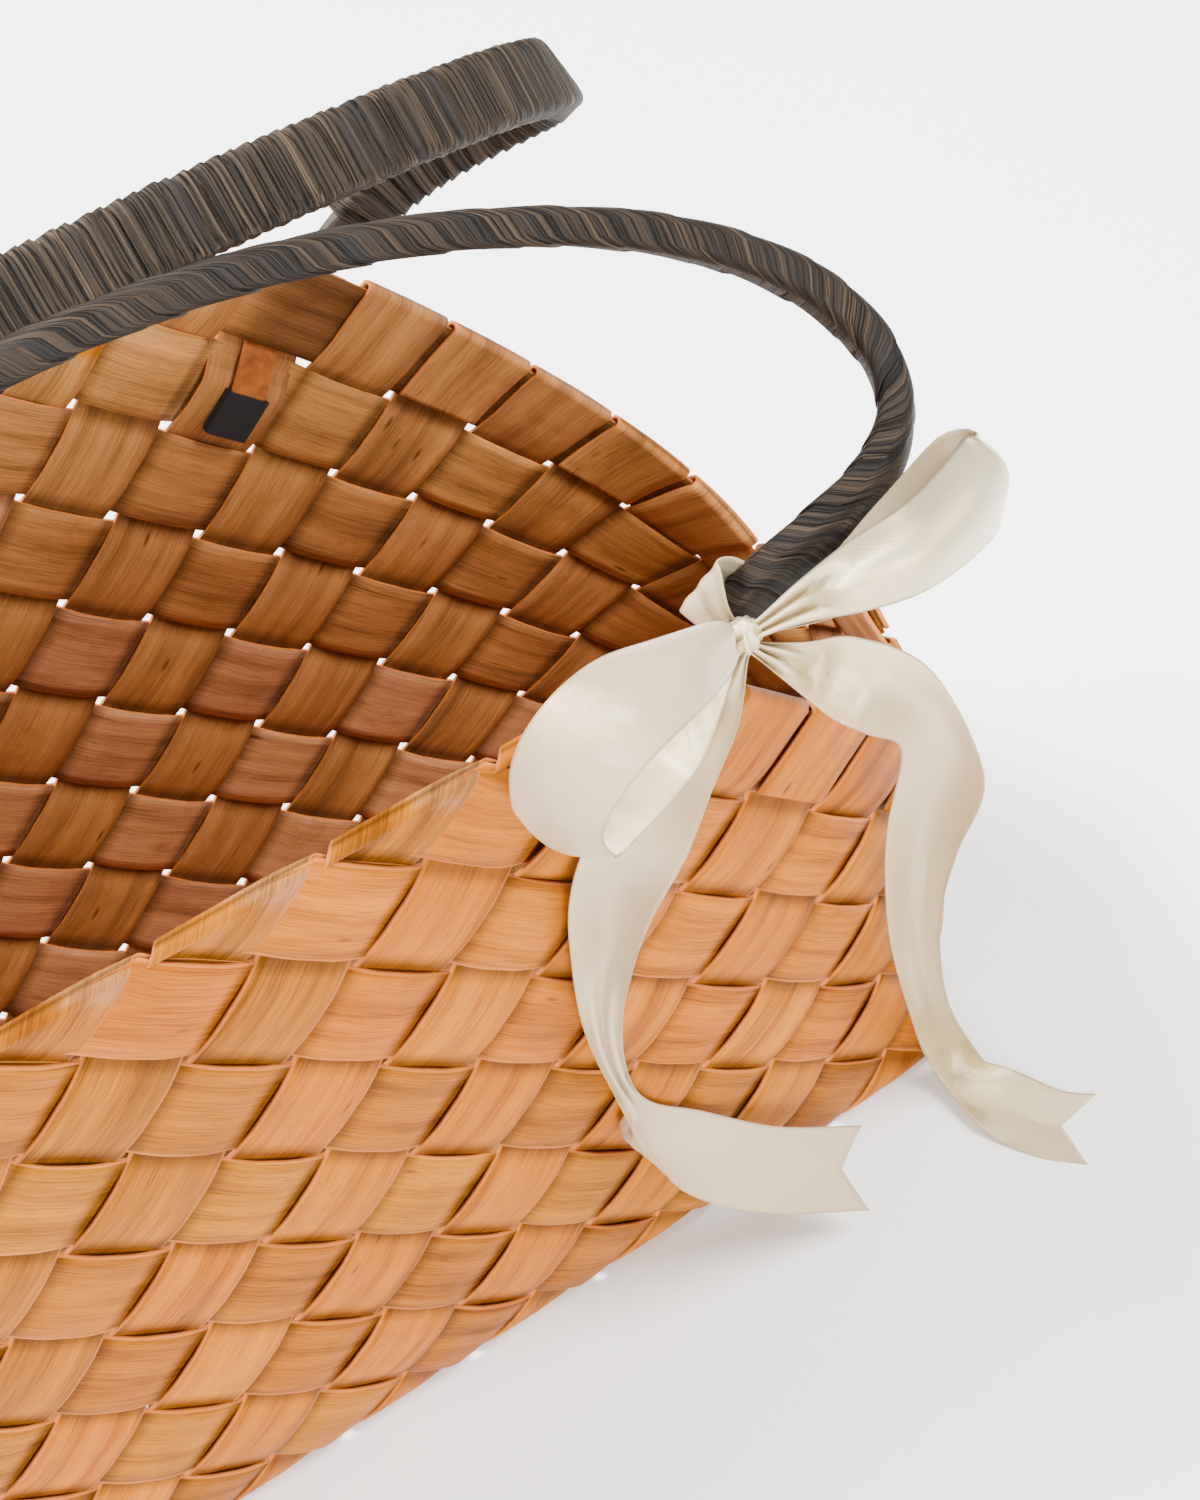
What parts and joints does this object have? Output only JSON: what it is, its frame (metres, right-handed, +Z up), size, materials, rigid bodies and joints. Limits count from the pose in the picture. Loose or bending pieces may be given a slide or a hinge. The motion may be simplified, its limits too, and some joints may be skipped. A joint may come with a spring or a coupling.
{
  "type": "basket",
  "caption": "Oblong foraging basket plaited on the bias from wood splints, with two dark wrapped arch handles and a cream satin ribbon tied to one of them",
  "frame": {"origin": "middle of the basket's underside, on the face it rests on", "axes": "Z up, X along the basket's long side, Y across it from the near side to the far side"},
  "size_m": [0.368, 0.1923, 0.2994],
  "materials": {
    "splint_a": "raw shaved wood with a wavy grain",
    "splint_b": "raw shaved wood with a straight grain",
    "handle_core": "plain bent wood",
    "bark_strip": "dark dry bark strip, matte",
    "black_tape": "matte cloth tape",
    "ribbon": "satin weave"
  },
  "bodies": {
    "root": {"splint_a_01": "splint_a", "splint_a_02": "splint_a", "splint_a_03": "splint_a", "splint_a_04": "splint_a", "splint_a_05": "splint_a", "splint_a_06": "splint_a", "splint_a_07": "splint_a", "splint_a_08": "splint_a", "splint_a_09": "splint_a", "splint_a_10": "splint_a", "splint_a_11": "splint_a", "splint_a_12": "splint_a", "splint_a_13": "splint_a", "splint_b_01": "splint_b", "splint_b_02": "splint_b", "splint_b_03": "splint_b", "splint_b_04": "splint_b", "splint_b_05": "splint_b", "splint_b_06": "splint_b", "splint_b_07": "splint_b", "splint_b_08": "splint_b", "splint_b_09": "splint_b", "splint_b_10": "splint_b", "splint_b_11": "splint_b", "splint_b_12": "splint_b", "splint_b_13": "splint_b", "handle_near_core": "handle_core", "handle_near_wrap": "bark_strip", "handle_near_tape_left": "black_tape", "handle_near_tape_right": "black_tape", "handle_far_core": "handle_core", "handle_far_wrap": "bark_strip", "handle_far_tape_left": "black_tape", "handle_far_tape_right": "black_tape", "ribbon_band": "ribbon", "ribbon_knot": "ribbon", "ribbon_loop_left": "ribbon", "ribbon_loop_right": "ribbon", "ribbon_tail_left": "ribbon", "ribbon_tail_right": "ribbon"}
  },
  "joints": []
}
